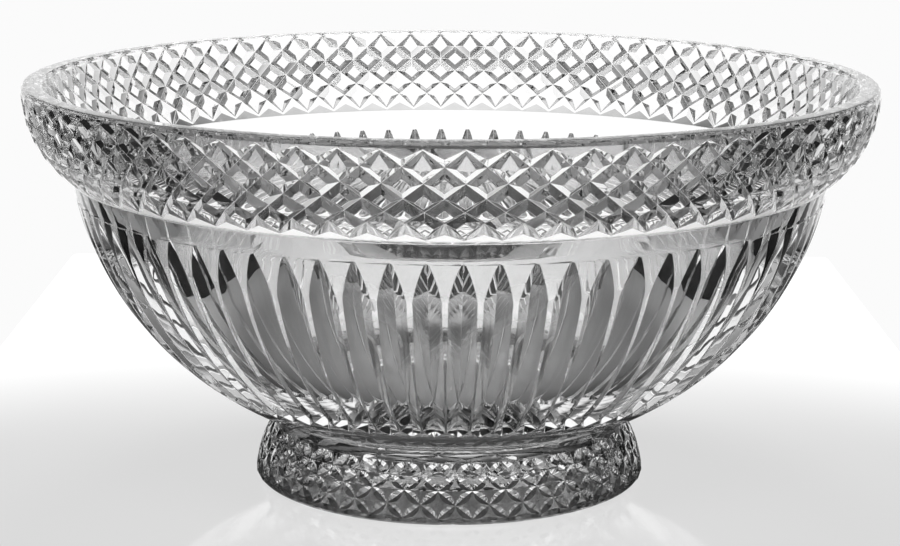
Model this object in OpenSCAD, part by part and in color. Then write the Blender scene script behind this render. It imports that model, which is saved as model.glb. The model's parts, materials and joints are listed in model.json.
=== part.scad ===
// Footed bowl of clear pressed glass, with a diamond-cut rim band, fluted sides and a diamond-cut foot.
// Every cut is a V groove: straight on the rim, lancet-shaped on the sides and leaf-shaped on the foot.
// The patterned outsides are worked out column by column, and the insides are turned.

/* [Rim] */
// Diameter over the rim
rim_d = 240; // [225:1:255]
// Height from the table to the top of the rim
total_h = 114.6; // [110:0.1:122]
// Thickness of the lip
lip_t = 6.3; // [5:0.1:8]
// Radius that rounds the edges of the lip
lip_round = 1.4; // [0.6:0.1:1.8]
// Height of the plain lip above the quarter-round band
lip_h = 2.4; // [2.2:0.1:4]
// Radius of the quarter-round band under the lip
band_r = 28.4; // [26:0.1:31]

/* [Body] */
// How far the neck, where the band meets the body, lies inside the rim
neck_in = 13.1; // [12:0.1:14.5]
// Radius of the outer curve of the body
body_r = 91.3; // [86:0.1:98]
// Diameter of the flat seat under the bowl
seat_d = 110.8; // [109:0.1:114]
// Thickness of the wall
wall_t = 8.6; // [7.5:0.1:10]
// Thickness of the floor
floor_t = 6.5; // [5:0.1:9]
// Radius that rounds the floor into the wall
floor_round = 40; // [30:1:50]

/* [Rim diamonds] */
// Number of diamonds around the rim, which is also the number of flutes
column_count = 74; // [60:2:80]
// Length of half a diamond, along the band
diamond_row = 4.45; // [4:0.05:4.6]
// Length of the tails in which the cuts run out under the diamonds
diamond_tail = 4.85; // [4:0.05:5.4]
// Width of a cut
diamond_cut_w = 3.6; // [2:0.1:4.2]
// Depth of a cut
diamond_depth = 1.7; // [0.8:0.05:2]

/* [Flutes] */
// Plain neck between the band and the points of the flutes
flute_gap = 5.1; // [3:0.1:8]
// Length of the pointed head of a flute
flute_head = 12; // [8:0.1:14]
// Length of the pointed tail of a flute
flute_tail = 3.5; // [2:0.1:8]
// Plain length between the tails and the seat of the bowl, along the curve
plain_l = 15.8; // [10:0.1:20]
// Width of a flute
flute_w = 7.2; // [5.5:0.1:7.6]
// Depth of a flute
flute_depth = 4.3; // [2:0.1:4.6]
// Least width of the ridge between two flutes
ridge_w = 0.5; // [0.3:0.1:1.2]

/* [Collar] */
// Diameter of the collar between the bowl and the foot
collar_d = 107; // [104:0.5:109]
// Thickness of the collar
collar_h = 2.5; // [2:0.1:4]

/* [Foot] */
// Diameter over the lower edge of the foot
foot_d = 112.7; // [110:0.1:118]
// Height of the foot
foot_h = 18.1; // [16:0.1:20]
// Radius of the outer curve of the foot
foot_curve_r = 32.8; // [30:0.1:40]
// Depth of the centre of that curve below the table
foot_curve_drop = 2.3; // [0:0.1:4]
// Bevel under the outer edge
foot_bevel = 0.6; // [0.3:0.1:0.8]
// Width of the ring on which the foot rests
rest_w = 7.5; // [5:0.1:10]
// Slope of the wall of the hollow, in mm from its edge to its top
hollow_taper = 3; // [1:0.1:6]
// Height of the wall of the hollow
hollow_h = 6; // [4:0.1:7]
// Diameter of the flat in the middle of the hollow
hollow_flat_d = 44; // [30:1:60]
// Rise from the wall of the hollow to that flat
hollow_rise = 3; // [1:0.1:4]

/* [Foot diamonds] */
// Number of diamonds around the foot
foot_count = 37; // [30:1:40]
// Plain margin above the diamonds, along the curve of the foot
foot_margin = 2.8; // [1:0.1:3.5]
// Plain margin below the diamonds, along the curve of the foot
foot_low_margin = 1.1; // [0.6:0.1:2]
// Width of a leaf-shaped cut at its middle
foot_cut_w = 2.6; // [1.4:0.1:3]
// Depth of a leaf-shaped cut at its middle
foot_depth = 1.15; // [0.5:0.05:1.4]

/* [Hidden] */
$fn = 120;

glass = [0.86, 0.9, 0.92];
// How far a cutting shape reaches past a face that it cuts through
past = 1;
// How far the curves of the inside reach past each other, so that they cross instead of only touching
blend = 0.03;
// How deep the cuts are where they meet at the top of the diamonds, against their full depth
apex_share = 0.4;
// How deep they still are at the ends of their tails
tail_share = 0.15;
// Widths of a flute along its pointed head, as [share of the head, share of the full width]
head_shape = [[0.3, 0.405], [0.65, 0.764], [1, 1]];
// Number of steps down a flute below its head
flute_steps = 4;

// Centres of the outer curves, and where they meet
rim_r = rim_d / 2;
band_cr = rim_r - band_r;
band_cz = total_h - lip_h;
neck_r = rim_r - neck_in;
neck_z = band_cz - sqrt(pow(band_r, 2) - pow(neck_r - band_cr, 2));
seat_r = seat_d / 2;
seat_z = foot_h + collar_h;
// The curve of the body runs from the neck to the edge of the seat
body_chord = [neck_r - seat_r, neck_z - seat_z];
chord_l = norm(body_chord);
chord_out = sqrt(pow(body_r, 2) - pow(chord_l / 2, 2));
body_cr = (neck_r + seat_r) / 2 - chord_out * body_chord.y / chord_l;
body_cz = (neck_z + seat_z) / 2 + chord_out * body_chord.x / chord_l;
seat_a = asin((body_cz - seat_z) / body_r);
foot_r = foot_d / 2;
foot_cr = foot_r - sqrt(pow(foot_curve_r, 2) - pow(foot_curve_drop, 2));

// The inside: a straight flare from the lip, the inner curve, and a rounding into the flat floor
mouth_r = rim_r - lip_t;
inner_r = body_r - wall_t;
lip_z = total_h - lip_round;
flare_a = atan2(lip_z - body_cz, mouth_r - body_cr)
    - acos((inner_r - blend) / norm([mouth_r - body_cr, lip_z - body_cz]));
flare_r = body_cr + (inner_r - blend) * cos(flare_a);
flare_z = body_cz + (inner_r - blend) * sin(flare_a);
floor_z = seat_z + floor_t;
round_cz = floor_z + floor_round - blend;
// Where the inner curve ends above the floor, the rounding sits right under the middle of the curve
round_reach = pow(inner_r - floor_round + blend, 2) - pow(round_cz - body_cz, 2);
round_cr = body_cr + sqrt(max(0, round_reach));
round_z = body_cz + inner_r * sin(atan2(round_cz - body_cz, round_cr - body_cr));

// A length along a curve, as an angle, and the other way round
function arc_angle(length, radius) = length / radius * 180 / PI;
function arc_length(angle, radius) = angle * PI / 180 * radius;

// Points [r, z] under the outer surfaces. Angles run down from the level of each curve's centre.
function on_band(a, depth) = a < 0
    ? [rim_r - depth, band_cz - arc_length(a, band_r)]
    : [band_cr + (band_r - depth) * cos(a), band_cz - (band_r - depth) * sin(a)];
function on_body(a, depth) =
    [body_cr + (body_r - depth) * cos(a), body_cz - (body_r - depth) * sin(a)];
function on_foot(a, depth) =
    [foot_cr + (foot_curve_r - depth) * cos(a), -foot_curve_drop - (foot_curve_r - depth) * sin(a)];

// A spot is [share of a column's width, r, z], and it is repeated in every column
function spot(u, point) = [u, point.x, point.y];
function spread(spots, n) = [
    for (s = spots) for (k = [0 : n - 1])
        let (a = (k + s[0]) * 360 / n) [s[1] * cos(a), s[1] * sin(a), s[2]]
];
// A corner is [number of its spot, steps to the right], and triangles of corners are repeated in every column
function weave(triangles, n) = [
    for (t = triangles) for (k = [0 : n - 1]) [for (c = t) c[0] * n + (k + c[1] + n) % n]
];
function quad(a, b, c, d) = [[a, b, c], [a, c, d]];
function band_between(upper, lower) = quad([upper, 0], [upper, 1], [lower, 1], [lower, 0]);

// Diamonds: the cuts cross in rows, and each diamond between them keeps a flat top with four corners.
// Rows alternate by half a column. The flat of the diamond on row c lies between the crossings around it.
function row_shift(row) = row % 2 / 2;
function flat_shift(row) = 0.5 - row_shift(row);
function share_at(row, rows) = row == 0 ? apex_share : row == rows ? tail_share : 1;
function crossing_spots(rows, at, on, depth) = [
    for (j = [0 : rows]) spot(row_shift(j), on(at[j], depth * share_at(j, rows)))
];
// The corners of a flat, as top, right, bottom and left. A cut takes the part inset of a half diagonal.
function flat_spots(rows, at, on, inset) = [
    for (c = [0 : rows])
        let (
            up = max(c - 1, 0),
            down = min(c + 1, rows),
            side = 0.5 * (1 - inset * share_at(c, rows)),
            u = flat_shift(c)
        )
        each [
            spot(u, on(at[c] + (at[up] - at[c]) * (1 - inset * share_at(up, rows)), 0)),
            spot(u + side, on(at[c], 0)),
            spot(u, on(at[c] + (at[down] - at[c]) * (1 - inset * share_at(down, rows)), 0)),
            spot(u - side, on(at[c], 0))
        ]
];
function diamond_spots(rows, at, on, depth, inset) =
    concat(crossing_spots(rows, at, on, depth), flat_spots(rows, at, on, inset));
// Triangles of the diamonds, whose spots start at number x, between a plain ring above and one below
function diamond_faces(rows, x, above, below) = [
    for (c = [0 : rows])
        let (
            right = 1 - c % 2,
            left = right - 1,
            f = x + rows + 1 + 4 * c,
            top = [f, 0],
            east = [f + 1, 0],
            bottom = [f + 2, 0],
            west = [f + 3, 0],
            cross_e = [x + c, right],
            cross_w = [x + c, left],
            cross_n = [x + c - 1, 0],
            cross_s = [x + c + 1, 0]
        )
        each concat(
            c > 0 ? [[top, east, west]] : concat(
                quad([above, left], [above, right], east, west),
                [[[above, left], west, cross_w], [[above, right], cross_e, east]]
            ),
            c > 0 ? concat(quad(cross_n, cross_e, east, top), quad(cross_w, cross_n, top, west)) : [],
            c < rows ? [[east, bottom, west]] : concat(
                quad(west, east, [below, right], [below, left]),
                [[cross_w, west, [below, left]], [east, cross_e, [below, right]]]
            ),
            c < rows ? concat(quad(cross_e, cross_s, bottom, east), quad(cross_s, cross_w, west, bottom)) : []
        )
];
// The part of a half diagonal that a cut takes, from the width of the cut and the size of the diamonds
function cut_inset(cut_w, column_w, row) = cut_w * norm([column_w / 2, row]) / (column_w * row);

// Leaves: the cuts cross in the same rows, but each runs out where it meets the others and is deepest midway.
// The flats between them are stars with four points. A leaf goes right (0) or left (1) from the row above it.
// Its spots are two on its floor (0), two on its upper edge (1) and two on its lower edge (2).
leaf_steps = [1 / 3, 2 / 3];
function leaf_share(t) = 4 * t * (1 - t);
function leaf_spot(x, rows, j, way, part, i) = x + rows + 1 + 12 * j + 6 * way + 2 * part + i;
function leaf_edge(rows, at, on, depth, across, along, j, sign) = [
    for (part = [0, 1, -1]) for (t = leaf_steps)
        let (share = leaf_share(t), u = row_shift(j) + sign * t / 2, a = at[j] + t * (at[j + 1] - at[j]))
        spot(
            u + sign * part * across * share,
            on(a - part * along * share, part == 0 ? depth * share : 0)
        )
];
function leaf_spots(rows, at, on, depth, across, along) = concat(
    [for (j = [0 : rows]) spot(row_shift(j), on(at[j], 0))],
    [
        for (j = [0 : rows - 1]) for (sign = [1, -1])
            each leaf_edge(rows, at, on, depth, across, along, j, sign)
    ],
    [for (c = [0 : rows]) spot(flat_shift(c), on(at[c], 0))]
);
// Triangles of one flank, from the end p of a leaf to its end q, between two of its lines
function flank(p, q, a, b) = concat([[p, a[0], b[0]]], quad(a[0], a[1], b[1], b[0]), [[a[1], q, b[1]]]);
function fan(centre, ring) = [
    for (i = [0 : len(ring) - 1]) [centre, ring[i], ring[(i + 1) % len(ring)]]
];
function leaf_faces(rows, x, above, below) = concat(
    [
        for (j = [0 : rows - 1]) for (way = [0, 1])
            let (
                p = [x + j, 0],
                q = [x + j + 1, j % 2 - way],
                line = [for (part = [0 : 2]) [for (i = [0, 1]) [leaf_spot(x, rows, j, way, part, i), 0]]]
            )
            each way == 0
                ? concat(flank(p, q, line[1], line[0]), flank(p, q, line[0], line[2]))
                : concat(flank(p, q, line[0], line[1]), flank(p, q, line[2], line[0]))
    ],
    [
        for (c = [0 : rows])
            let (right = 1 - c % 2, left = right - 1)
            each fan([x + rows + 1 + 12 * rows + c, 0], concat(
                c == 0 ? [[above, left], [above, right]] : [
                    [x + c - 1, 0],
                    [leaf_spot(x, rows, c - 1, 0, 2, 0), 0],
                    [leaf_spot(x, rows, c - 1, 0, 2, 1), 0]
                ],
                [[x + c, right]],
                c == rows ? [[below, right], [below, left]] : [
                    [leaf_spot(x, rows, c, 1, 1, 0), right],
                    [leaf_spot(x, rows, c, 1, 1, 1), right],
                    [x + c + 1, 0],
                    [leaf_spot(x, rows, c, 0, 1, 1), left],
                    [leaf_spot(x, rows, c, 0, 1, 0), left]
                ],
                [[x + c, left]],
                c == 0 ? [] : [
                    [leaf_spot(x, rows, c - 1, 1, 2, 1), 0],
                    [leaf_spot(x, rows, c - 1, 1, 2, 0), 0]
                ]
            ))
    ]
);

// Flutes: a point, stations of [floor, right edge, left edge], and a point again
flute_first = asin((body_cz - neck_z + flute_gap) / body_r);
flute_full = flute_first + arc_angle(flute_head, body_r);
flute_last = seat_a - arc_angle(plain_l, body_r);
flute_low = flute_last - arc_angle(flute_tail, body_r);
flute_stations = concat(
    [for (h = head_shape) [flute_first + (flute_full - flute_first) * h[0], h[1]]],
    [for (i = [1 : flute_steps]) [flute_full + (flute_low - flute_full) * i / flute_steps, 1]]
);
function flute_half(a) = min(flute_w, 2 * PI * on_body(a, 0).x / column_count - ridge_w) / 2;
function flute_spots() = concat(
    [spot(0, on_body(flute_first, 0))],
    [
        for (s = flute_stations)
            let (
                half = flute_half(s[0]) * s[1],
                u = half * column_count / (2 * PI * on_body(s[0], 0).x)
            )
            each [
                spot(0, on_body(s[0], flute_depth * 2 * half / flute_w)),
                spot(u, on_body(s[0], 0)),
                spot(1 - u, on_body(s[0], 0))
            ]
    ],
    [spot(0, on_body(flute_last, 0))]
);
function flute_faces(x) =
    let (last = x + 1 + 3 * (len(flute_stations) - 1), end = last + 3) concat(
        [[[x, 0], [x + 2, 0], [x + 1, 0]], [[x, 0], [x + 1, 0], [x + 3, -1]]],
        quad([x, 0], [x, 1], [x + 3, 0], [x + 2, 0]),
        [
            for (s = [x + 1 : 3 : last - 3])
                each concat(
                    quad([s, 0], [s + 1, 0], [s + 4, 0], [s + 3, 0]),
                    quad([s + 2, -1], [s, 0], [s + 3, 0], [s + 5, -1]),
                    quad([s + 1, 0], [s + 2, 0], [s + 5, 0], [s + 4, 0])
                )
        ],
        [[[last, 0], [last + 1, 0], [end, 0]], [[last + 2, -1], [last, 0], [end, 0]]],
        quad([last + 1, 0], [last + 2, 0], [end, 1], [end, 0])
    );

// A solid of n columns, from spots in order from the top ring to the bottom ring, closed by two flats
module woven_solid(spots, triangles, n) {
    bottom = len(spots) - 1;
    polyhedron(
        points = spread(spots, n),
        faces = concat(
            [[for (k = [n - 1 : -1 : 0]) k]],
            weave(triangles, n),
            [[for (k = [0 : n - 1]) bottom * n + k]]
        )
    );
}

// The outside of the bowl, as a solid up to the level of the rim
rim_rows = 6;
rim_row_a = arc_angle(diamond_row, band_r);
// The first row of cuts starts this part of a row above the quarter-round
rim_lead = 0.09;
rim_first_a = -rim_lead * rim_row_a;
rim_at = [
    for (j = [0 : rim_rows])
        j < rim_rows
            ? rim_first_a + j * rim_row_a
            : rim_first_a + (j - 1) * rim_row_a + arc_angle(diamond_tail, band_r)
];
rim_inset = cut_inset(diamond_cut_w, 2 * PI * rim_r / column_count, diamond_row);
// Angles of the rounded outer edge of the lip, down from straight up
lip_steps = [0, 45, 90];
// Plain rings between the flutes and the seat, as shares of the way
plain_steps = [0.5, 1];

module bowl_outside() {
    lip = [
        for (a = lip_steps)
            spot(0, [rim_r - lip_round + lip_round * sin(a), total_h - lip_round + lip_round * cos(a)])
    ];
    diamonds = diamond_spots(
        rim_rows, rim_at, function(a, depth) on_band(a, depth), diamond_depth, rim_inset
    );
    neck = [spot(0, [neck_r, neck_z])];
    flutes = flute_spots();
    plain = [for (t = plain_steps) spot(0, on_body(flute_last + (seat_a - flute_last) * t, 0))];
    first_diamond = len(lip);
    first_neck = first_diamond + len(diamonds);
    first_flute = first_neck + len(neck);
    first_plain = first_flute + len(flutes);
    woven_solid(
        concat(lip, diamonds, neck, flutes, plain),
        concat(
            [for (i = [0 : first_diamond - 2]) each band_between(i, i + 1)],
            diamond_faces(rim_rows, first_diamond, first_diamond - 1, first_neck),
            band_between(first_neck, first_flute),
            flute_faces(first_flute),
            [for (i = [first_plain - 1 : first_plain + len(plain) - 2]) each band_between(i, i + 1)]
        ),
        column_count
    );
}

// Half the section of the inside of the bowl, with the inner edge of the lip rounded in short steps
inner_lip_steps = [0, 15, 30, 45, 60, 75];

module inside_section() {
    translate([0, floor_z]) square([round_cr, round_cz - floor_z]);
    intersection() {
        translate([round_cr, round_cz]) circle(floor_round);
        translate([0, floor_z]) square([round_cr + floor_round, round_cz - floor_z]);
    }
    intersection() {
        translate([body_cr, body_cz]) circle(inner_r);
        translate([0, round_z]) square([body_cr + inner_r, body_cz - round_z]);
    }
    polygon(concat(
        [[0, flare_z], [flare_r, flare_z]],
        [for (a = inner_lip_steps) [mouth_r + lip_round * (1 - cos(a)), lip_z + lip_round * sin(a)]],
        [[mouth_r + lip_round, total_h + past], [0, total_h + past]]
    ));
}

module bowl() {
    color(glass) difference() {
        bowl_outside();
        rotate_extrude() inside_section();
    }
}

// The wafer of glass that joins the bowl to the foot, with a half-round edge
module collar() {
    edge_r = collar_h / 2;
    color(glass) translate([0, 0, foot_h]) rotate_extrude() {
        square([collar_d / 2 - edge_r, collar_h]);
        intersection() {
            translate([collar_d / 2 - edge_r, edge_r]) circle(edge_r);
            translate([collar_d / 2 - edge_r, 0]) square([edge_r, collar_h]);
        }
    }
}

// The outside of the foot, as a solid down to the table
foot_rows = 4;
foot_top_a = -asin((foot_h + foot_curve_drop) / foot_curve_r);
foot_edge_a = -asin((foot_bevel + foot_curve_drop) / foot_curve_r);
foot_first_a = foot_top_a + arc_angle(foot_margin, foot_curve_r);
foot_last_a = foot_edge_a - arc_angle(foot_low_margin, foot_curve_r);
foot_row_a = (foot_last_a - foot_first_a) / foot_rows;
foot_at = [for (j = [0 : foot_rows]) foot_first_a + j * foot_row_a];
// Half the width of a leaf, split into a share of a column and an angle along the curve
foot_column_w = 2 * PI * foot_r / foot_count;
foot_slope = [foot_column_w / 2, arc_length(foot_row_a, foot_curve_r)];
leaf_across = foot_cut_w / 2 * foot_slope.y / norm(foot_slope) / foot_column_w;
leaf_along = arc_angle(foot_cut_w / 2 * foot_slope.x / norm(foot_slope), foot_curve_r);

module foot_outside() {
    top = [spot(0, on_foot(foot_top_a, 0))];
    leaves = leaf_spots(
        foot_rows, foot_at, function(a, depth) on_foot(a, depth), foot_depth, leaf_across, leaf_along
    );
    edge = [spot(0, on_foot(foot_edge_a, 0)), spot(0, [on_foot(foot_edge_a, 0).x - foot_bevel, 0])];
    first_edge = len(top) + len(leaves);
    woven_solid(
        concat(top, leaves, edge),
        concat(
            leaf_faces(foot_rows, len(top), 0, first_edge),
            band_between(first_edge, first_edge + 1)
        ),
        foot_count
    );
}

// Half the section of the hollow under the foot: a sloping wall, a shallow slope and a flat middle
module hollow_section() {
    edge_r = on_foot(foot_edge_a, 0).x - foot_bevel - rest_w;
    flat_z = hollow_h + hollow_rise;
    polygon([
        [0, -past],
        [edge_r, -past],
        [edge_r, 0],
        [edge_r - hollow_taper, hollow_h],
        [hollow_flat_d / 2, flat_z],
        [0, flat_z]
    ]);
}

module foot() {
    color(glass) difference() {
        foot_outside();
        rotate_extrude() hollow_section();
    }
}

bowl();
collar();
foot();
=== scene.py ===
"""Looks of the footed trifle bowl: clear pressed glass on a pale table, in a plain studio."""

import json
import logging
import math
from dataclasses import dataclass
from enum import Enum
from typing import Any, Callable

import bmesh
import bpy
from mathutils import Euler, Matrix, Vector

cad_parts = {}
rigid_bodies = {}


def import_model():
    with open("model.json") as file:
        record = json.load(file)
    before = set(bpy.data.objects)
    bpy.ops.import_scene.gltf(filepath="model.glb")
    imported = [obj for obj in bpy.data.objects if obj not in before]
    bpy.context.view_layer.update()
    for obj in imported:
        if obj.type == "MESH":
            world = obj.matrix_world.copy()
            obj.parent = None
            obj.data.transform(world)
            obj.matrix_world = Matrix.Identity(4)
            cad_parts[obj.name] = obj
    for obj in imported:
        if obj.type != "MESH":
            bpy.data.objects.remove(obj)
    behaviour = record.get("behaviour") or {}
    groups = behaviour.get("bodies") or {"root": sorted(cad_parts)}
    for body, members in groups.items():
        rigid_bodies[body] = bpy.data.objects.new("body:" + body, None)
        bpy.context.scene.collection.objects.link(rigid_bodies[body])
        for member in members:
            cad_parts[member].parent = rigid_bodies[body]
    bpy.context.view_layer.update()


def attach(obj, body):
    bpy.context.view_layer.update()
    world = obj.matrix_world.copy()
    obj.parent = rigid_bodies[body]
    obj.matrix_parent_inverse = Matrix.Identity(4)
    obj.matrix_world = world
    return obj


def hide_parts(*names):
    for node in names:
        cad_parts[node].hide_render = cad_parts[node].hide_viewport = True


LOG = logging.getLogger("trifle_bowl")
ROOT = "root"
# How near two places are that count as the same, in metres and in columns
NEAR = 2e-6
NEAR_COLUMN = 0.02
# How near two distances from the axis are that were rounded alike
NEAR_ROUNDED = 1e-7
# How far a search for corners stays clear of a ring
CLEAR = NEAR * 3
# Any distance from the axis that a corner of the bowl can have
ANY_REACH = (0.0, 1.0)
# Cuts that divide each edge of a ring in three
THIRDS = 2
# Edges that bend more than this are rounded by the flame
SHARP_BEND = math.radians(16)
POLISH_STEPS = 2
# Edges that bend less than this are shaded as one surface
SMOOTH_BEND = math.radians(30)
WHITE = "#FFFFFF"


class Skin(Enum):
    """The surfaces of a piece of glass, by the number of their material slot."""

    POLISHED = 0
    JOINT = 1


@dataclass(frozen=True)
class Spot:
    """A point of a turned profile: its distance from the axis and its height, in metres."""

    r: float
    z: float


@dataclass(frozen=True)
class Arc:
    """A round stretch of a turned profile, around a centre at r and z."""

    r: float
    z: float
    radius: float

    def at(self, angle: float, depth: float = 0.0) -> Spot:
        """Gives a spot under the arc.

        Args:
            angle: Angle below the level of the centre, in radians.
            depth: Depth under the surface, in metres.

        Returns:
            The spot.
        """
        reach = self.radius - depth
        return Spot(self.r + reach * math.cos(angle), self.z - reach * math.sin(angle))

    def turn(self, length: float) -> float:
        """Gives the angle, in radians, of a length along the arc."""
        return length / self.radius


def middle(spots: list[Spot]) -> Spot:
    """Gives the mean of some spots."""
    count = len(spots)
    return Spot(sum(s.r for s in spots) / count, sum(s.z for s in spots) / count)


class Lathe:
    """A mesh in edit mode that is drawn out ring by ring around the upright axis."""

    def __init__(self, name: str, columns: int, first: Spot) -> None:
        """Starts the mesh with one ring, and with a material slot for each surface.

        Args:
            name: Name of the piece.
            columns: Number of corners around the ring.
            first: Where the ring lies.
        """
        self.columns = columns
        self.at = first
        bpy.ops.object.select_all(action="DESELECT")
        bpy.ops.mesh.primitive_circle_add(
            vertices=columns,
            radius=first.r,
            location=(0, 0, first.z),
            rotation=(0, 0, -math.pi / 2),
        )
        bpy.ops.object.transform_apply(location=True, rotation=True, scale=True)
        self.piece = bpy.context.object
        self.piece.name = name
        self.piece.data.name = name
        for _ in Skin:
            self.piece.data.materials.append(None)
        bpy.ops.object.mode_set(mode="EDIT")
        bpy.ops.mesh.select_mode(type="VERT")
        bpy.ops.mesh.select_all(action="SELECT")

    @property
    def pitch(self) -> float:
        """Angle between two columns, in radians."""
        return 2 * math.pi / self.columns

    def draw_to(self, spot: Spot, turn: float = 0.0) -> None:
        """Extrudes the selected ring to another place.

        Args:
            spot: Where the new ring lies.
            turn: How far it turns on the way, in columns.
        """
        bpy.ops.mesh.extrude_region_move(
            TRANSFORM_OT_translate={"value": (0, 0, spot.z - self.at.z)}
        )
        self.resize(spot.r / self.at.r)
        self.turn(turn)
        self.at = spot

    def resize(self, factor: float) -> None:
        """Scales what is selected away from the axis."""
        bpy.ops.transform.resize(value=(factor, factor, 1), center_override=(0, 0, 0))

    def turn(self, columns: float) -> None:
        """Turns what is selected around the axis, by a number of columns."""
        if columns:
            bpy.ops.transform.rotate(
                value=-columns * self.pitch, orient_axis="Z", center_override=(0, 0, 0)
            )

    def pick(
        self, z: tuple[float, float], share: float | None = None, r: tuple[float, float] = ANY_REACH
    ) -> Spot:
        """Selects the corners between two heights and nothing else.

        Args:
            z: Lowest and highest height.
            share: Their place across a column, or None for any place.
            r: Least and largest distance from the axis.

        Returns:
            Their mean spot.
        """
        bpy.ops.mesh.select_mode(type="VERT")
        bpy.ops.mesh.select_all(action="DESELECT")
        mesh = bmesh.from_edit_mesh(self.piece.data)
        picked = []
        for corner in mesh.verts:
            if not z[0] - NEAR <= corner.co.z <= z[1] + NEAR:
                continue
            if not r[0] - NEAR * 2 <= corner.co.xy.length <= r[1] + NEAR * 2:
                continue
            column = math.atan2(corner.co.y, corner.co.x) / self.pitch - (share or 0.0)
            if share is None or abs(column - round(column)) < NEAR_COLUMN:
                corner.select = True
                picked.append(Spot(corner.co.xy.length, corner.co.z))
        mesh.select_flush_mode()
        bmesh.update_edit_mesh(self.piece.data)
        if not picked:
            raise ValueError(f"{self.piece.name}: no corners between {z[0]} and {z[1]}")
        return middle(picked)

    def move(self, here: Spot, there: Spot) -> None:
        """Moves the selected corners from their mean spot to another."""
        self.resize(there.r / here.r)
        bpy.ops.transform.translate(value=(0, 0, there.z - here.z))

    def grab(self, spot: Spot) -> None:
        """Selects a whole ring again, so that the next ring is drawn from it."""
        self.pick((spot.z, spot.z), r=(spot.r, spot.r))
        self.at = spot

    def pick_faces(self, test: Callable[[bmesh.types.BMFace], bool]) -> None:
        """Selects the faces that pass a test, and nothing else.

        Args:
            test: Tells whether a face is wanted.
        """
        bpy.ops.mesh.select_mode(type="FACE")
        bpy.ops.mesh.select_all(action="DESELECT")
        mesh = bmesh.from_edit_mesh(self.piece.data)
        for face in mesh.faces:
            face.select = test(face)
        mesh.select_flush_mode()
        bmesh.update_edit_mesh(self.piece.data)

    def pick_rings(self, heights: list[float]) -> None:
        """Selects the level edges at some heights, and nothing else.

        Args:
            heights: The heights of the rings.
        """
        bpy.ops.mesh.select_mode(type="EDGE")
        bpy.ops.mesh.select_all(action="DESELECT")
        mesh = bmesh.from_edit_mesh(self.piece.data)
        for edge in mesh.edges:
            ends = [corner.co.z for corner in edge.verts]
            edge.select = any(max(abs(z - h) for z in ends) < NEAR for h in heights)
        mesh.select_flush_mode()
        bmesh.update_edit_mesh(self.piece.data)

    def split_ring(self, cuts: int) -> None:
        """Divides each edge of the selected ring, and keeps the ring round.

        Args:
            cuts: Number of new corners on each edge.
        """
        bpy.ops.mesh.subdivide(number_cuts=cuts)
        mesh = bmesh.from_edit_mesh(self.piece.data)
        short = [v for v in mesh.verts if v.select and v.co.xy.length < self.at.r - NEAR / 2]
        reaches = sorted({round(v.co.xy.length, 8) for v in short})
        for reach in reaches:
            for corner in mesh.verts:
                near = abs(corner.co.xy.length - reach) < NEAR_ROUNDED
                corner.select = near and corner in short
            mesh.select_flush_mode()
            bmesh.update_edit_mesh(self.piece.data)
            self.resize(self.at.r / reach)
            mesh = bmesh.from_edit_mesh(self.piece.data)
        self.grab(self.at)

    def close(self, skin: Skin) -> None:
        """Closes the selected ring with a flat face.

        Args:
            skin: The surface of the face.
        """
        bpy.ops.mesh.edge_face_add()
        self.piece.active_material_index = skin.value
        bpy.ops.object.material_slot_assign()

    def finish(self, edge: float = 0.0, sharp: float = SHARP_BEND) -> bpy.types.Object:
        """Leaves edit mode, rounds the sharp edges as a flame does and smooths the shading.

        Args:
            edge: Width of the rounding, or zero for none.
            sharp: Least bend of an edge that is rounded, in radians.

        Returns:
            The finished piece.
        """
        bpy.ops.mesh.select_mode(type="VERT")
        bpy.ops.mesh.select_all(action="SELECT")
        bpy.ops.mesh.remove_doubles(threshold=NEAR)
        bpy.ops.mesh.normals_make_consistent(inside=False)
        bpy.ops.object.mode_set(mode="OBJECT")
        if edge:
            bevel = self.piece.modifiers.new("fire_polish", "BEVEL")
            bevel.width = edge
            bevel.segments = POLISH_STEPS
            bevel.limit_method = "ANGLE"
            bevel.angle_limit = sharp
            bpy.ops.object.modifier_apply(modifier=bevel.name)
        bpy.ops.object.shade_smooth_by_angle(angle=SMOOTH_BEND)
        flats = self.piece.modifiers.new("flat_cuts", "WEIGHTED_NORMAL")
        flats.keep_sharp = True
        bpy.ops.object.modifier_apply(modifier=flats.name)
        return self.piece


@dataclass(frozen=True)
class Weave:
    """Rows in which V cuts cross on a round surface, half a column further in each row."""

    arc: Arc
    angles: tuple[float, ...]
    cut_w: float
    depth: float

    def row(self, number: int, depth: float = 0.0) -> Spot:
        """Gives the spot of a row of crossings, on the surface or under it."""
        return self.arc.at(self.angles[number], depth)

    def draw_rows(self, lathe: Lathe, below: Spot) -> None:
        """Draws the rows from the selected ring, and keeps only the lines of the cuts.

        Args:
            lathe: The mesh, with the plain ring above the cuts selected.
            below: The plain ring below them.
        """
        rows = range(len(self.angles))
        for j in rows:
            lathe.draw_to(self.row(j), 0.0 if j == 0 else 0.5 if j % 2 else -0.5)
        lathe.draw_to(below)
        top, bottom = self.row(0).z + NEAR, self.row(rows[-1]).z - NEAR
        lathe.pick_faces(lambda f: all(bottom <= v.co.z <= top for v in f.verts))
        bpy.ops.mesh.quads_convert_to_tris(quad_method="SHORTEST_DIAGONAL")
        lathe.pick_rings([self.row(j).z for j in rows])
        bpy.ops.mesh.dissolve_edges(use_verts=False)


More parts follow.
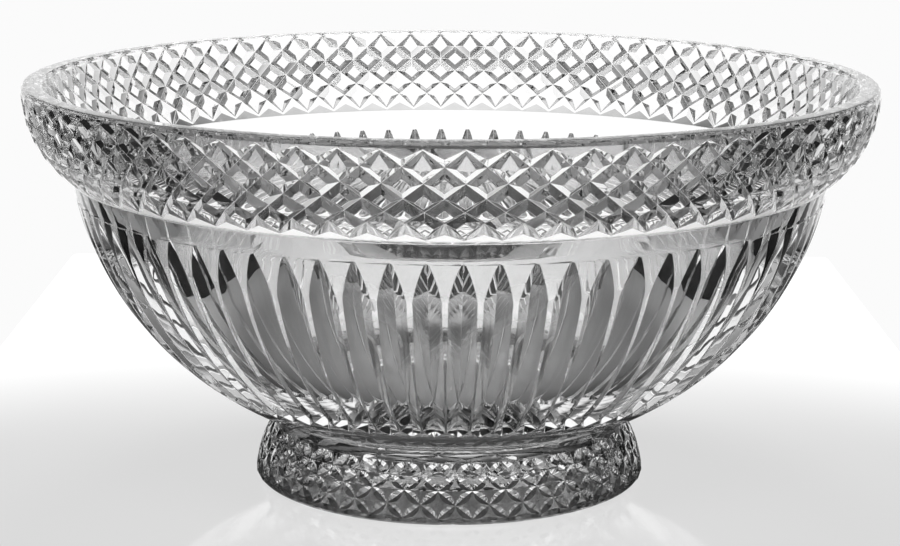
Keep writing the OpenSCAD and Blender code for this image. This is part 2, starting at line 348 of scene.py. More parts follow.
@dataclass(frozen=True)
class LeafWeave(Weave):
    """Leaf-shaped cuts that run out where they cross, and leave stars with four points.

    No operator draws a cut of changing width, so each one is set between its ends corner by corner.
    """

    column_w: float
    steps: int = 8

    def cut(self, lathe: Lathe, below: Spot) -> None:
        """Draws the rows from the selected ring, then cuts the leaves.

        Args:
            lathe: The mesh, with the plain ring above the cuts selected.
            below: The plain ring below them.
        """
        self.draw_rows(lathe, below)
        mesh = bmesh.from_edit_mesh(lathe.piece.data)
        cuts = [edge for edge in mesh.edges if self._is_cut(edge)]
        floors = {edge: self._line(mesh, edge, 0) for edge in cuts}
        stars = list({face: None for edge in floors for face in edge.link_faces})
        for star in stars:
            self._carve(mesh, star, floors)
        bmesh.ops.delete(mesh, geom=stars, context="FACES")
        bmesh.update_edit_mesh(lathe.piece.data)

    def _row_of(self, corner: bmesh.types.BMVert) -> int | None:
        """Gives the row on which a corner lies, or None."""
        near = (j for j in range(len(self.angles)) if abs(corner.co.z - self.row(j).z) < NEAR)
        return next(near, None)

    def _is_cut(self, edge: bmesh.types.BMEdge) -> bool:
        """Tells whether an edge runs from one row to the next."""
        rows = {self._row_of(corner) for corner in edge.verts}
        return None not in rows and len(rows) == 2

    def _line(
        self, mesh: bmesh.types.BMesh, edge: bmesh.types.BMEdge, side: int
    ) -> list[bmesh.types.BMVert]:
        """Adds the corners of one line of a leaf, from its upper end down.

        Args:
            mesh: The mesh.
            edge: The edge between the two ends of the leaf.
            side: 0 for the floor of the cut, 1 for its upper edge and -1 for its lower edge.

        Returns:
            The new corners.
        """
        upper, lower = sorted(edge.verts, key=lambda corner: -corner.co.z)
        start, end = (math.atan2(corner.co.y, corner.co.x) for corner in (upper, lower))
        across = math.remainder(end - start, 2 * math.pi)
        first, last = (self.angles[self._row_of(corner)] for corner in (upper, lower))
        slope = Vector((self.column_w / 2, (last - first) * self.arc.radius)).normalized()
        aside = math.copysign(slope.y / self.column_w * 2 * abs(across), across) * self.cut_w / 2
        along = self.arc.turn(slope.x * self.cut_w / 2)
        corners = []
        for i in range(1, self.steps):
            way = i / self.steps
            # Full in the middle of the leaf, and nothing at its ends
            share = 4 * way * (1 - way)
            down = first + (last - first) * way - side * along * share
            spot = self.arc.at(down, 0.0 if side else self.depth * share)
            turn = start + across * way + side * aside * share
            place = (spot.r * math.cos(turn), spot.r * math.sin(turn), spot.z)
            corners.append(mesh.verts.new(place))
        return corners

    def _carve(
        self,
        mesh: bmesh.types.BMesh,
        star: bmesh.types.BMFace,
        floors: dict[bmesh.types.BMEdge, list[bmesh.types.BMVert]],
    ) -> None:
        """Sets the flanks of the cuts around a flat, and the flat between them.

        Args:
            mesh: The mesh.
            star: The face between the lines of the cuts.
            floors: The floor of each cut, by the edge between its ends.
        """
        level = star.calc_center_median().z
        outline: list[bmesh.types.BMVert] = []
        for loop in star.loops:
            here, there = loop.vert, loop.link_loop_next.vert
            outline.append(here)
            if loop.edge not in floors:
                continue
            line = 1 if level > (here.co.z + there.co.z) / 2 else -1
            order = 1 if here.co.z > there.co.z else -1
            side = self._line(mesh, loop.edge, line)[::order]
            low, high = ([here, *corners, there] for corners in (floors[loop.edge][::order], side))
            for i in range(self.steps):
                mesh.faces.new(list(dict.fromkeys((low[i], low[i + 1], high[i + 1], high[i]))))
            outline += side
        centre = mesh.verts.new(self._centre(star))
        for here, there in zip(outline, outline[1:] + outline[:1]):
            mesh.faces.new((centre, here, there))

    def _centre(self, star: bmesh.types.BMFace) -> Vector:
        """Gives the middle of a flat, which lies on the row where it is widest.

        Args:
            star: The face between the lines of the cuts.

        Returns:
            The place of the middle.
        """
        rows = [self._row_of(corner) for corner in star.verts]
        widest = next(j for j in range(len(self.angles)) if rows.count(j) == 2)
        ends = [corner.co.xy for corner, row in zip(star.verts, rows) if row == widest]
        reach = (ends[0] + ends[1]).normalized() * self.row(widest).r
        return Vector((reach.x, reach.y, self.row(widest).z))


@dataclass(frozen=True)
class DiamondWeave(Weave):
    """Straight cuts of an even width, which leave flat-topped diamonds between them."""

    crown: float
    # How deep the cuts still are at their upper and lower ends
    apex_share: float = 0.4
    tail_share: float = 0.15
    # Where the two edges of a cut meet: against its width inside the rows, and on the way past them
    point_share: float = 0.62
    past_share: float = 0.6
    # How far their corners are searched for: on the way to the next row, and past the last one
    inner_search: float = 0.8
    outer_search: float = 0.004

    def share(self, number: int) -> float:
        """Gives how deep the cuts are at a row, against their full depth."""
        last = len(self.angles) - 1
        return self.apex_share if number == 0 else self.tail_share if number == last else 1.0

    def cut(self, lathe: Lathe, below: Spot) -> None:
        """Draws the rows from the selected ring, then cuts the diamonds.

        Args:
            lathe: The mesh, with the plain ring above the diamonds selected.
            below: The plain ring below them.
        """
        above = lathe.at
        self.draw_rows(lathe, below)
        lathe.pick_faces(self._is_diamond)
        bpy.ops.mesh.inset(thickness=self.cut_w / 2, use_individual=True)
        bpy.ops.mesh.poke(offset=self.crown)
        bpy.ops.mesh.select_more()
        bpy.ops.mesh.select_all(action="INVERT")
        bpy.ops.mesh.inset(thickness=self.cut_w / 2, use_boundary=False)
        self._point_ends(lathe, above, below)
        for j in range(len(self.angles)):
            here = lathe.pick((self.row(j).z, self.row(j).z), share=j % 2 / 2)
            lathe.move(here, self.row(j, self.depth * self.share(j)))

    @staticmethod
    def _is_diamond(face: bmesh.types.BMFace) -> bool:
        """Tells whether a face has four corners at three heights."""
        return len(face.verts) == 4 and len({round(v.co.z, 6) for v in face.verts}) == 3

    def _point_ends(self, lathe: Lathe, above: Spot, below: Spot) -> None:
        """Narrows the cuts to points at their upper and lower ends.

        Args:
            lathe: The mesh.
            above: The plain ring above the diamonds.
            below: The plain ring below them.
        """
        last = len(self.angles) - 1
        for end, toward, outer in ((0, 1, above), (last, last - 1, below)):
            share = end % 2 / 2
            row = self.row(end)
            step = self.angles[toward] - self.angles[end]
            inset = self.cut_w * self.point_share / (abs(step) * self.arc.radius)
            place = self.arc.at(self.angles[end] + step * inset * self.share(end))
            inner_z = row.z + (self.row(toward).z - row.z) * self.inner_search
            low, high = sorted((row.z, inner_z))
            lathe.move(lathe.pick((low + CLEAR, high - CLEAR), share=share), place)
            reach = outer.z - row.z
            near, far = (row.z + math.copysign(x, reach) for x in (CLEAR, self.outer_search))
            here = self._pick_loose(lathe, (min(near, far), max(near, far)), share, outer)
            past_r = row.r + (outer.r - row.r) * self.past_share
            lathe.move(here, Spot(past_r, row.z + reach * self.past_share))

    @staticmethod
    def _pick_loose(lathe: Lathe, z: tuple[float, float], share: float, outer: Spot) -> Spot:
        """Selects the corners past the end of the cuts, and leaves the plain ring out.

        Args:
            lathe: The mesh.
            z: Lowest and highest height.
            share: Their place across a column.
            outer: The plain ring.

        Returns:
            Their mean spot.
        """
        lathe.pick(z, share=share)
        mesh = bmesh.from_edit_mesh(lathe.piece.data)
        picked = []
        for corner in mesh.verts:
            if corner.select and abs(corner.co.z - outer.z) < NEAR:
                corner.select = False
            if corner.select:
                picked.append(Spot(corner.co.xy.length, corner.co.z))
        mesh.select_flush_mode()
        bmesh.update_edit_mesh(lathe.piece.data)
        return middle(picked)


@dataclass
class Bowl:
    """The bowl: a plain lip, a band of diamonds, a neck, long V flutes and a plain lower wall."""

    rim_r: float = 0.120
    top: float = 0.1146
    lip_t: float = 0.0063
    lip_round: float = 0.0014
    lip_h: float = 0.0024
    band_r: float = 0.0284
    neck_in: float = 0.0131
    body_r: float = 0.0913
    seat_r: float = 0.0554
    seat_z: float = 0.0206
    wall_t: float = 0.0086
    floor_t: float = 0.0065
    floor_round: float = 0.040
    columns: int = 74
    rows: int = 6
    row_l: float = 0.00445
    row_lead: float = 0.09
    tail_l: float = 0.00485
    cut_w: float = 0.0036
    cut_depth: float = 0.0017
    flute_gap: float = 0.0045
    flute_head: float = 0.012
    flute_tail: float = 0.0035
    flute_w: float = 0.0072
    flute_depth: float = 0.0043
    ridge_w: float = 0.0005
    plain_l: float = 0.0158
    joint_r: float = 0.05225
    # How full the heads of the flutes are, from straight edges at 0 to pointed arches at 1
    head_curve: float = 0.5
    crown: float = 0.00009
    polish: float = 0.00016
    crease_round: float = 0.0007
    # The faint inner crease under the neck, and where the inner curve starts below it
    crease_r: float = 0.098
    crease_z: float = 0.0839
    flare_a: float = math.radians(26)
    crease_steps: int = 4
    head_steps: int = 8
    flute_steps: int = 16
    seat_steps: int = 5
    flare_steps: int = 6
    inner_steps: int = 20
    floor_steps: int = 14

    def __post_init__(self) -> None:
        """Works out the curves of the profile."""
        self.band = Arc(self.rim_r - self.band_r, self.top - self.lip_h, self.band_r)
        neck_r = self.rim_r - self.neck_in
        drop = math.sqrt(self.band_r**2 - (neck_r - self.band.r) ** 2)
        self.neck = Spot(neck_r, self.band.z - drop)
        across, up = neck_r - self.seat_r, self.neck.z - self.seat_z
        chord = math.hypot(across, up)
        out = math.sqrt(self.body_r**2 - (chord / 2) ** 2)
        self.body = Arc(
            (neck_r + self.seat_r) / 2 - out * up / chord,
            (self.neck.z + self.seat_z) / 2 + out * across / chord,
            self.body_r,
        )
        self.seat_a = math.asin((self.body.z - self.seat_z) / self.body_r)

    def build(self) -> bpy.types.Object:
        """Models the bowl.

        Returns:
            The finished piece.
        """
        lip = Spot(self.rim_r, self.top - self.lip_round)
        lathe = Lathe("glass_bowl", self.columns, lip)
        crease = self._crease()
        self._weave().cut(lathe, crease[0])
        lathe.grab(crease[0])
        for spot in crease[1:]:
            lathe.draw_to(spot)
        self._flutes(lathe)
        self._seat(lathe)
        lathe.grab(lip)
        self._lip(lathe)
        self._inside(lathe)
        return lathe.finish(self.polish)

    def _crease(self) -> list[Spot]:
        """Gives the rounded crease between the band and the body.

        Returns:
            The spots of its rings, from the band down.
        """
        neck_a = math.acos((self.neck.r - self.band.r) / self.band_r)
        body_a = math.asin((self.body.z - self.neck.z) / self.body_r)
        start = self.band.at(neck_a - self.band.turn(self.crease_round))
        end = self.body.at(body_a + self.body.turn(self.crease_round))
        spots = []
        for i in range(self.crease_steps + 1):
            way = i / self.crease_steps
            parts = (1 - way) ** 2, 2 * way * (1 - way), way**2
            pulls = list(zip(parts, (start, self.neck, end)))
            spots.append(Spot(sum(p * s.r for p, s in pulls), sum(p * s.z for p, s in pulls)))
        return spots

    def _weave(self) -> DiamondWeave:
        """Gives the diamonds of the rim band.

        Returns:
            The rows of crossing cuts.
        """
        step = self.band.turn(self.row_l)
        angles = [step * (j - self.row_lead) for j in range(self.rows)]
        angles.append(angles[-1] + self.band.turn(self.tail_l))
        return DiamondWeave(self.band, tuple(angles), self.cut_w, self.cut_depth, self.crown)

    def _half(self, spot: Spot, width: float) -> tuple[float, float]:
        """Gives half the width of a flute at a spot.

        Args:
            spot: The spot, on the surface.
            width: The width there, against the full width.

        Returns:
            The half width in metres and in columns.
        """
        room = 2 * math.pi * spot.r / self.columns
        half = min(self.flute_w, room - self.ridge_w) / 2 * width
        return half, half / room

    def _flutes(self, lathe: Lathe) -> None:
        """Draws the flutes from the neck down: points, heads, lengths and tails.

        Args:
            lathe: The mesh, with the ring at the neck selected.
        """
        body, turn = self.body, self.body.turn
        first = math.asin((body.z - self.neck.z + self.flute_gap) / self.body_r)
        full = first + turn(self.flute_head)
        last = self.seat_a - turn(self.plain_l)
        low = last - turn(self.flute_tail)
        ways = [i / self.head_steps for i in range(1, self.head_steps + 1)]
        stations = [(first + (full - first) * w, w * (1 + self.head_curve * (1 - w))) for w in ways]
        for i in range(1, self.flute_steps + 1):
            stations.append((full + (low - full) * i / self.flute_steps, 1.0))
        lathe.draw_to(body.at(first))
        across = 1 / 3
        for number, (angle, width) in enumerate(stations):
            spot = body.at(angle)
            lathe.draw_to(spot)
            if number == 0:
                lathe.split_ring(THIRDS)
            _, wanted = self._half(spot, width)
            for side in (1, -1):
                lathe.pick((spot.z, spot.z), share=side * across, r=(spot.r, spot.r))
                lathe.turn(side * (wanted - across))
            across = wanted
            if number == 0:
                lathe.pick((spot.z, body.at(first).z))
                bpy.ops.mesh.vert_connect()
            lathe.grab(spot)
        self._tails(lathe, last, across)
        self._sink(lathe, stations)
        lathe.grab(body.at(last))

    def _tails(self, lathe: Lathe, last: float, across: float) -> None:
        """Draws the two edges of each flute together in a point.

        Args:
            lathe: The mesh, with the lowest full ring of the flutes selected.
            last: Angle of the points on the body.
            across: Half the width of a flute at the selected ring, in columns.
        """
        spot = self.body.at(last)
        lathe.draw_to(spot)
        for side in (1, -1):
            lathe.pick((spot.z, spot.z), share=side * across, r=(spot.r, spot.r))
            lathe.turn(-side * across)
        bpy.ops.mesh.select_all(action="SELECT")
        bpy.ops.mesh.remove_doubles(threshold=NEAR)

    def _sink(self, lathe: Lathe, stations: list[tuple[float, float]]) -> None:
        """Sinks the middle lines of the flutes, as deep as each flute is wide there.

        Args:
            lathe: The mesh.
            stations: The angle of each ring on the body, and the width of the flutes there.
        """
        for angle, width in stations:
            spot = self.body.at(angle)
            half, _ = self._half(spot, width)
            here = lathe.pick((spot.z, spot.z), share=0.0)
            lathe.move(here, self.body.at(angle, self.flute_depth * 2 * half / self.flute_w))

    def _seat(self, lathe: Lathe) -> None:
        """Draws the plain lower wall and the flat seat.

        Args:
            lathe: The mesh, with the ring at the tails of the flutes selected.
        """
        start = self.seat_a - self.body.turn(self.plain_l)
        for i in range(1, self.seat_steps + 1):
            lathe.draw_to(self.body.at(start + (self.seat_a - start) * i / self.seat_steps))
        lathe.draw_to(Spot(self.joint_r, self.seat_z))
        lathe.close(Skin.JOINT)

    def _lip(self, lathe: Lathe) -> None:
        """Draws the outer edge of the lip and its flat top, and makes the ring finer inside.

        Args:
            lathe: The mesh, with the ring under the lip selected.
        """
        edge = Arc(self.rim_r - self.lip_round, self.top - self.lip_round, self.lip_round)
        for degrees in (30, 60, 90):
            lathe.draw_to(edge.at(-math.radians(degrees)))
        lathe.draw_to(Spot(self.rim_r - self.lip_t + self.lip_round, self.top))
        lathe.split_ring(THIRDS)

    def _inside(self, lathe: Lathe) -> None:
        """Draws the inner edge of the lip, the flare, the inner curve and the floor.

        Args:
            lathe: The mesh, with the inner ring of the lip selected.
        """
        mouth = Spot(self.rim_r - self.lip_t, self.top - self.lip_round)
        for degrees in (70, 45, 20, 0):
            out, up = 1 - math.cos(math.radians(degrees)), math.sin(math.radians(degrees))
            lathe.draw_to(Spot(mouth.r + self.lip_round * out, mouth.z + self.lip_round * up))
        inner = Arc(self.body.r, self.body.z, self.body_r - self.wall_t)
        stretch = [mouth, Spot(self.crease_r, self.crease_z), inner.at(self.flare_a)]
        for upper, lower in zip(stretch, stretch[1:]):
            for i in range(1, self.flare_steps + 1):
                way = i / self.flare_steps
                r = upper.r + (lower.r - upper.r) * way
                lathe.draw_to(Spot(r, upper.z + (lower.z - upper.z) * way))
        floor_z = self.seat_z + self.floor_t
        rise = inner.z - floor_z - self.floor_round
        reach = inner.radius - self.floor_round
        corner_r = inner.r + math.sqrt(reach**2 - rise**2)
        corner = Arc(corner_r, floor_z + self.floor_round, self.floor_round)
        meet = math.asin(rise / reach)
        curve = (inner, self.flare_a, meet, self.inner_steps)
        for arc, start, end, steps in (curve, (corner, meet, math.pi / 2, self.floor_steps)):
            for i in range(1, steps + 1):
                lathe.draw_to(arc.at(start + (end - start) * i / steps))
        lathe.close(Skin.POLISHED)


@dataclass
class Collar:
    """The wafer of glass between the bowl and the foot, with a half-round edge."""

    rim_r: float = 0.0535
    bottom: float = 0.0181
    height: float = 0.0025
    foot_joint_r: float = 0.0493
    polish: float = 0.00008
    columns: int = 148
    edge_steps: int = 10

    def build(self) -> bpy.types.Object:
        """Models the collar.

        Returns:
            The finished piece.
        """
        edge = Arc(self.rim_r - self.height / 2, self.bottom + self.height / 2, self.height / 2)
        top = edge.at(-math.pi / 2)
        lathe = Lathe("glass_collar", self.columns, top)
        lathe.close(Skin.JOINT)
        lathe.grab(top)
        for i in range(1, self.edge_steps + 1):
            lathe.draw_to(edge.at(-math.pi / 2 + math.pi * i / self.edge_steps))
        lathe.draw_to(Spot(self.foot_joint_r, self.bottom))
        lathe.close(Skin.JOINT)
        return lathe.finish(self.polish, sharp=SMOOTH_BEND)


@dataclass
class Foot:
    """The spreading foot, with leaf-shaped cuts, a flat resting ring and a hollow underneath."""

    edge_r: float = 0.05635
    height: float = 0.0181
    curve_r: float = 0.0328
    curve_drop: float = 0.0023
    bevel: float = 0.0006
    rest_w: float = 0.0075
    hollow_taper: float = 0.003
    hollow_h: float = 0.006
    hollow_flat_r: float = 0.022
    hollow_rise: float = 0.003
    columns: int = 37
    rows: int = 4
    margin: float = 0.0028
    low_margin: float = 0.0011
    cut_w: float = 0.0026
    cut_depth: float = 0.00115
    rest_cuts: int = 3

    def build(self) -> bpy.types.Object:
        """Models the foot.

        Returns:
            The finished piece.
        """
        across = math.sqrt(self.curve_r**2 - self.curve_drop**2)
        arc = Arc(self.edge_r - across, -self.curve_drop, self.curve_r)
        top_a = -math.asin((self.height + self.curve_drop) / self.curve_r)
        edge_a = -math.asin((self.bevel + self.curve_drop) / self.curve_r)
        first = top_a + arc.turn(self.margin)
        step = (edge_a - arc.turn(self.low_margin) - first) / self.rows
        angles = tuple(first + step * j for j in range(self.rows + 1))
        top, edge = arc.at(top_a), arc.at(edge_a)
        lathe = Lathe("glass_foot", self.columns, top)
        column_w = 2 * math.pi * self.edge_r / self.columns
        LeafWeave(arc, angles, self.cut_w, self.cut_depth, column_w).cut(lathe, edge)
        lathe.grab(top)
        lathe.close(Skin.JOINT)
        lathe.grab(edge)
        self._underside(lathe, edge)
        return lathe.finish()

    def _underside(self, lathe: Lathe, edge: Spot) -> None:
        """Draws the bevel under the edge, the resting ring and the hollow.

        Args:
            lathe: The mesh, with the ring at the edge selected.
            edge: Where that ring lies.
        """
        rest = edge.r - self.bevel
        lathe.draw_to(Spot(rest, 0.0))
        lathe.split_ring(self.rest_cuts)
        hollow = rest - self.rest_w
        lathe.draw_to(Spot(hollow, 0.0))
        lathe.draw_to(Spot(hollow - self.hollow_taper, self.hollow_h))
        lathe.draw_to(Spot(self.hollow_flat_r, self.hollow_h + self.hollow_rise))
        lathe.close(Skin.POLISHED)


def linear(code: str) -> tuple[float, float, float, float]:
    """Turns an sRGB hex value into a linear colour.

    Args:
        code: Six hex digits after a hash sign.

    Returns:
        Red, green, blue and an alpha of one.
    """
    parts = [int(code[i : i + 2], 16) / 255 for i in (1, 3, 5)]
    red, green, blue = (p / 12.92 if p <= 0.04045 else ((p + 0.055) / 1.055) ** 2.4 for p in parts)
    return red, green, blue, 1.0


def add_node(
    tree: bpy.types.NodeTree,
    kind: str,
    inputs: dict[str | int, Any] | None = None,
    links: dict[str | int, bpy.types.NodeSocket] | None = None,
    **settings: Any,
) -> bpy.types.Node:
    """Adds a node with its settings and links.

    Args:
        tree: The node tree.
        kind: The node's type.
        inputs: Values of its sockets.
        links: Sockets that feed its sockets.
        **settings: Its own properties.

    Returns:
        The node.
    """
    node = tree.nodes.new(kind)
    for name, value in settings.items():
        setattr(node, name, value)
    for name, value in (inputs or {}).items():
        node.inputs[name].default_value = value
    for name, socket in (links or {}).items():
        tree.links.new(socket, node.inputs[name])
    return node


def new_material(name: str) -> bpy.types.Material:
    """Gives a material with an empty node tree.

    Args:
        name: Name of the material.

    Returns:
        The material.
    """
    material = bpy.data.materials.new(name)
    material.use_nodes = True
    material.node_tree.nodes.clear()
    return material


@dataclass(frozen=True)
class PressedGlass:
    """Soda-lime glass, pressed in a mould and fire-polished: clear, colourless and glossy."""

    name: str = "pressed_soda_lime_glass"
    tint: str = WHITE
    ior: float = 1.52
    # The flame leaves no roughness. The mould leaves a ripple, which bends reflections slightly
    roughness: float = 0.0
    ripple_size: float = 0.009
    ripple_height: float = 0.00002

    def make(self) -> bpy.types.Material:
        """Builds the material.

        Returns:
            The material.
        """
        material = new_material(self.name)
        tree = material.node_tree
        place = add_node(tree, "ShaderNodeTexCoord")
        ripple = add_node(
            tree,
            "ShaderNodeTexNoise",
            inputs={"Scale": 1 / self.ripple_size, "Detail": 1.0},
            links={"Vector": place.outputs["Object"]},
        )
        bump = add_node(
            tree,
            "ShaderNodeBump",
            inputs={"Strength": 1.0, "Distance": self.ripple_height},
            links={"Height": ripple.outputs[0]},
        )
        glass = add_node(
            tree,
            "ShaderNodeBsdfPrincipled",
            inputs={
                "Base Color": linear(self.tint),
                "Roughness": self.roughness,
                "IOR": self.ior,
                "Transmission Weight": 1.0,
            },
            links={"Normal": bump.outputs["Normal"]},
        )
        add_node(tree, "ShaderNodeOutputMaterial", links={"Surface": glass.outputs["BSDF"]})
        return material


@dataclass(frozen=True)
class FusedJoint:
    """A seat where hot glass has run together, so that there is no surface left to see."""

    name: str = "fused_glass_joint"

    def make(self) -> bpy.types.Material:
        """Builds the material.

        Returns:
            The material.
        """
        material = new_material(self.name)
        tree = material.node_tree
        clear = add_node(
            tree, "ShaderNodeBsdfPrincipled", inputs={"Base Color": linear(WHITE), "Alpha": 0.0}
        )
        add_node(tree, "ShaderNodeOutputMaterial", links={"Surface": clear.outputs["BSDF"]})
        return material


@dataclass(frozen=True)
class TableTop:
    """Pressed laminate with a satin skin: pale and even, with a soft mirror image of the foot."""

    name: str = "white_laminate"
    # The glass sees a grey top in the pools of the lamps, which gives the flutes their dark heads.
    # The camera sees little of the pools, and an even lift instead
    albedo: float = 0.09
    seen_albedo: float = 0.014
    lift: float = 0.67
    # The skin is smooth, over a fine grain that softens the mirror image
    roughness: float = 0.07
    grain_size: float = 0.0012
    grain_height: float = 0.000006

    def make(self) -> bpy.types.Material:
        """Builds the material.

        Returns:
            The material.
        """
        material = new_material(self.name)
        tree = material.node_tree
        place = add_node(tree, "ShaderNodeTexCoord")
        grain = add_node(
            tree,
            "ShaderNodeTexNoise",
            inputs={"Scale": 1 / self.grain_size, "Detail": 2.0},
            links={"Vector": place.outputs["Object"]},
        )
        bump = add_node(
            tree,
            "ShaderNodeBump",
            inputs={"Strength": 1.0, "Distance": self.grain_height},
            links={"Height": grain.outputs[0]},
        )
        path = add_node(tree, "ShaderNodeLightPath")
        lift = add_node(
            tree,
            "ShaderNodeMath",
            inputs={1: self.lift},
            links={0: path.outputs["Is Camera Ray"]},
            operation="MULTIPLY",
        )
        grey = add_node(
            tree,
            "ShaderNodeMath",
            inputs={1: self.seen_albedo - self.albedo, 2: self.albedo},
            links={0: path.outputs["Is Camera Ray"]},
            operation="MULTIPLY_ADD",
        )
        top = add_node(
            tree,
            "ShaderNodeBsdfPrincipled",
            inputs={"Roughness": self.roughness, "Emission Color": linear(WHITE)},
            links={
                "Base Color": grey.outputs[0],
                "Normal": bump.outputs["Normal"],
                "Emission Strength": lift.outputs[0],
            },
        )
        add_node(tree, "ShaderNodeOutputMaterial", links={"Surface": top.outputs["BSDF"]})
        return material


@dataclass(frozen=True)
class Glow:
    """A soft panel of light on the wall of the room.

    It stands behind the bowl with a facing of 1, and behind the camera with -1. Between the two
    angles of across and of up, in degrees, it fades out to the sides and above the table.
    """

    facing: float
    strength: float
    across: tuple[float, float]
    up: tuple[float, float]

    def shine(
        self,
        tree: bpy.types.NodeTree,
        way: bpy.types.NodeSocket,
        height: bpy.types.NodeSocket,
        light: bpy.types.NodeSocket,
    ) -> bpy.types.NodeSocket:
        """Adds the panel to the light of the room.

        Args:
            tree: The node tree of the room.
            way: How far a direction points away from the camera, from -1 to 1.
            height: How far it points up, from -1 to 1.
            light: The light of the room without the panel.

        Returns:
            The light with the panel.
        """
        near, far = (self.facing * math.cos(math.radians(a)) for a in self.across)
        low, high = (math.sin(math.radians(a)) for a in self.up)
        across = add_node(
            tree,
            "ShaderNodeMapRange",
            inputs={"From Min": far, "From Max": near, "To Min": 0.0, "To Max": self.strength},
            links={"Value": way},
            interpolation_type="SMOOTHSTEP",
        )
        up = add_node(
            tree,
            "ShaderNodeMapRange",
            inputs={"From Min": high, "From Max": low, "To Min": 0.0, "To Max": 1.0},
            links={"Value": height},
            interpolation_type="SMOOTHSTEP",
        )
        both = add_node(
            tree,
            "ShaderNodeMath",
            links={0: across.outputs["Result"], 1: up.outputs["Result"], 2: light},
            operation="MULTIPLY_ADD",
        )
        return both.outputs[0]


@dataclass(frozen=True)
class Lamp:
    """A soft lamp over the table: its power in watts, its place, where it points and its cone.

    It hangs behind the axis of the bowl and up over the table, and aims at a point of the table
    behind the axis. These and its size are in metres, and its cone is in degrees.
    """

    name: str
    power: float
    behind: float
    up: float
    aim: float
    cone: float
    size: float


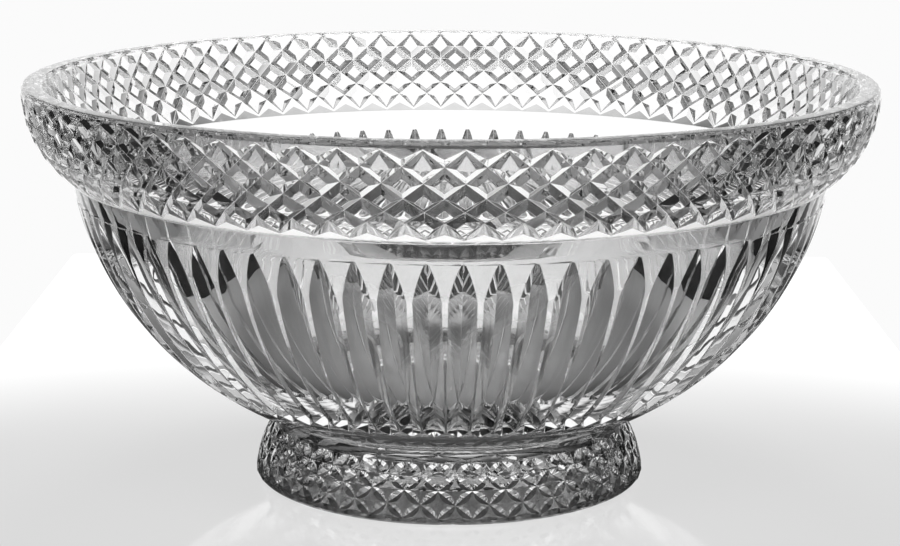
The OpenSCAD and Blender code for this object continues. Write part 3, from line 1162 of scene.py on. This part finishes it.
@dataclass
class Studio:
    """The table, the light and the camera."""

    table_w: float = 0.32
    table_front: float = 0.19
    table_back: float = 0.30
    table_t: float = 0.018
    table_edge: float = 0.003
    table_edge_steps: int = 4
    table_corner: float = math.radians(60)
    # The walls are dark up to a height, and grow brighter from there to straight above
    room: tuple[float, float] = (0.004, 0.45)
    room_from: float = 0.2
    ceiling: float = 0.35
    ceiling_up: tuple[float, float] = (53, 90)
    # What the camera sees past the table, while the glass sees the walls themselves
    seen_wall: str = "#FBFBFB"
    backdrop: Glow = Glow(facing=1, strength=1.1, across=(14, 50), up=(8, 17))
    front: Glow = Glow(facing=-1, strength=0.25, across=(45, 75), up=(26, 50))
    lamps: tuple[Lamp, ...] = (
        Lamp("back_lamp", power=700.0, behind=0.52, up=0.66, aim=0.2, cone=28, size=0.22),
        Lamp("front_lamp", power=85.0, behind=-0.46, up=0.62, aim=-0.10, cone=24, size=0.12),
    )
    camera_away: float = 0.641
    camera_up: float = 0.1976
    camera_side: float = math.radians(-94.2)
    camera_down: float = math.radians(12.33)
    camera_roll: float = math.radians(0.27)
    camera_near: float = 0.01
    lens: float = 91.0
    sensor: float = 36.0
    # Light passes many surfaces of cut glass before it is lost
    glass_bounces: int = 24
    mirror_bounces: int = 12

    def build(self) -> None:
        """Sets up the table, the light and the camera."""
        self._table()
        self._room()
        for lamp in self.lamps:
            self._hang(lamp)
        self._camera()
        bpy.context.scene.view_settings.view_transform = "Standard"
        cycles = bpy.context.scene.cycles
        cycles.max_bounces = self.glass_bounces
        cycles.transmission_bounces = self.glass_bounces
        cycles.transparent_max_bounces = self.glass_bounces
        cycles.glossy_bounces = self.mirror_bounces

    def _table(self) -> None:
        """Makes the table top, square to the camera, with rounded edges."""
        toward = Vector((math.cos(self.camera_side), math.sin(self.camera_side), 0.0))
        centre = toward * (self.table_front - self.table_back) / 2
        bpy.ops.object.select_all(action="DESELECT")
        bpy.ops.mesh.primitive_cube_add(
            size=1,
            location=(centre.x, centre.y, -self.table_t / 2),
            rotation=(0, 0, self.camera_side),
            scale=(self.table_front + self.table_back, self.table_w, self.table_t),
        )
        bpy.ops.object.transform_apply(location=True, rotation=True, scale=True)
        table = bpy.context.object
        table.name = "table_top"
        edge = table.modifiers.new("rounded_edge", "BEVEL")
        edge.width = self.table_edge
        edge.segments = self.table_edge_steps
        edge.limit_method = "ANGLE"
        edge.angle_limit = self.table_corner
        bpy.ops.object.modifier_apply(modifier=edge.name)
        bpy.ops.object.shade_smooth_by_angle(angle=SMOOTH_BEND)
        table.data.materials.append(TableTop().make())

    def _room(self) -> None:
        """Lights the room: a white backdrop, a dim front panel, dark walls and a soft ceiling."""
        world = bpy.data.worlds.new("studio")
        bpy.context.scene.world = world
        world.use_nodes = True
        tree = world.node_tree
        tree.nodes.clear()
        place = add_node(tree, "ShaderNodeTexCoord")
        turned = add_node(
            tree,
            "ShaderNodeVectorRotate",
            inputs={"Angle": math.pi - self.camera_side},
            links={"Vector": place.outputs["Generated"]},
            rotation_type="Z_AXIS",
        )
        axes = add_node(tree, "ShaderNodeSeparateXYZ", links={"Vector": turned.outputs[0]})
        level = add_node(
            tree, "ShaderNodeCombineXYZ", links={"X": axes.outputs["X"], "Y": axes.outputs["Y"]}
        )
        around = add_node(
            tree, "ShaderNodeVectorMath", links={0: level.outputs[0]}, operation="NORMALIZE"
        )
        way = add_node(tree, "ShaderNodeSeparateXYZ", links={"Vector": around.outputs[0]})
        light = self._walls(tree, axes.outputs["Z"])
        for glow in (self.backdrop, self.front):
            light = glow.shine(tree, way.outputs["X"], axes.outputs["Z"], light)
        room = add_node(
            tree,
            "ShaderNodeBackground",
            inputs={"Color": linear(WHITE)},
            links={"Strength": light},
        )
        seen = add_node(
            tree,
            "ShaderNodeBackground",
            inputs={"Color": linear(self.seen_wall), "Strength": 1.0},
        )
        path = add_node(tree, "ShaderNodeLightPath")
        mix = add_node(
            tree,
            "ShaderNodeMixShader",
            links={0: path.outputs["Is Camera Ray"], 1: room.outputs[0], 2: seen.outputs[0]},
        )
        add_node(tree, "ShaderNodeOutputWorld", links={"Surface": mix.outputs[0]})

    def _walls(
        self, tree: bpy.types.NodeTree, height: bpy.types.NodeSocket
    ) -> bpy.types.NodeSocket:
        """Makes the light of the bare walls and of the ceiling.

        Args:
            tree: The node tree of the room.
            height: How far a direction points up, from -1 to 1.

        Returns:
            The light.
        """
        low, high = (math.sin(math.radians(a)) for a in self.ceiling_up)
        above = add_node(
            tree,
            "ShaderNodeMapRange",
            inputs={"From Min": low, "From Max": high, "To Min": 0.0, "To Max": self.ceiling},
            links={"Value": height},
            interpolation_type="SMOOTHSTEP",
        )
        walls = add_node(
            tree,
            "ShaderNodeMapRange",
            inputs={"From Min": self.room_from, "To Min": self.room[0], "To Max": self.room[1]},
            links={"Value": height},
        )
        both = add_node(
            tree,
            "ShaderNodeMath",
            links={0: above.outputs["Result"], 1: walls.outputs["Result"]},
            operation="ADD",
        )
        return both.outputs[0]

    def _hang(self, lamp: Lamp) -> None:
        """Hangs a lamp that lights the table, and that neither the glass nor the table mirrors.

        Args:
            lamp: The lamp.
        """
        back = Vector((-math.cos(self.camera_side), -math.sin(self.camera_side), 0.0))
        data = bpy.data.lights.new(lamp.name, "SPOT")
        data.energy = lamp.power
        data.spot_size = math.radians(lamp.cone)
        data.spot_blend = 1.0
        data.shadow_soft_size = lamp.size
        hung = bpy.data.objects.new(lamp.name, data)
        bpy.context.scene.collection.objects.link(hung)
        hung.location = back * lamp.behind + Vector((0, 0, lamp.up))
        hung.rotation_euler = (back * lamp.aim - hung.location).to_track_quat("-Z", "Y").to_euler()
        hung.visible_glossy = False
        hung.visible_transmission = False

    def _camera(self) -> None:
        """Places the camera at the photograph's viewing angle."""
        data = bpy.data.cameras.new("camera")
        data.lens = self.lens
        data.sensor_width = self.sensor
        data.clip_start = self.camera_near
        camera = bpy.data.objects.new("camera", data)
        bpy.context.scene.collection.objects.link(camera)
        camera.location = (
            self.camera_away * math.cos(self.camera_side),
            self.camera_away * math.sin(self.camera_side),
            self.camera_up,
        )
        aim = Euler((math.pi / 2 - self.camera_down, 0, self.camera_side + math.pi / 2))
        roll = Euler((0, 0, self.camera_roll))
        camera.rotation_euler = (aim.to_matrix() @ roll.to_matrix()).to_euler()
        bpy.context.scene.camera = camera


def dress(piece: bpy.types.Object, node: str, skins: dict[Skin, bpy.types.Material]) -> None:
    """Gives a piece its materials and ties it to the frame.

    Args:
        piece: The piece.
        node: The node of the frame that it stands for.
        skins: The material of each surface.
    """
    for skin, material in skins.items():
        piece.data.materials[skin.value] = material
    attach(piece, ROOT)
    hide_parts(node)
    LOG.info("%s: %d faces, stands for %s", piece.name, len(piece.data.polygons), node)


def corners(box: tuple[Vector, Vector]) -> list[list[float]]:
    """Gives a box as plain lists."""
    return [list(corner) for corner in box]


def main() -> None:
    """Builds the pieces in order, dresses them and sets up the studio."""
    logging.basicConfig(level=logging.INFO)
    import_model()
    skins = {Skin.POLISHED: PressedGlass().make(), Skin.JOINT: FusedJoint().make()}
    dress(Bowl().build(), "bowl", skins)
    dress(Collar().build(), "collar", skins)
    dress(Foot().build(), "foot", skins)
    Studio().build()


if __name__ == "__main__":
    main()
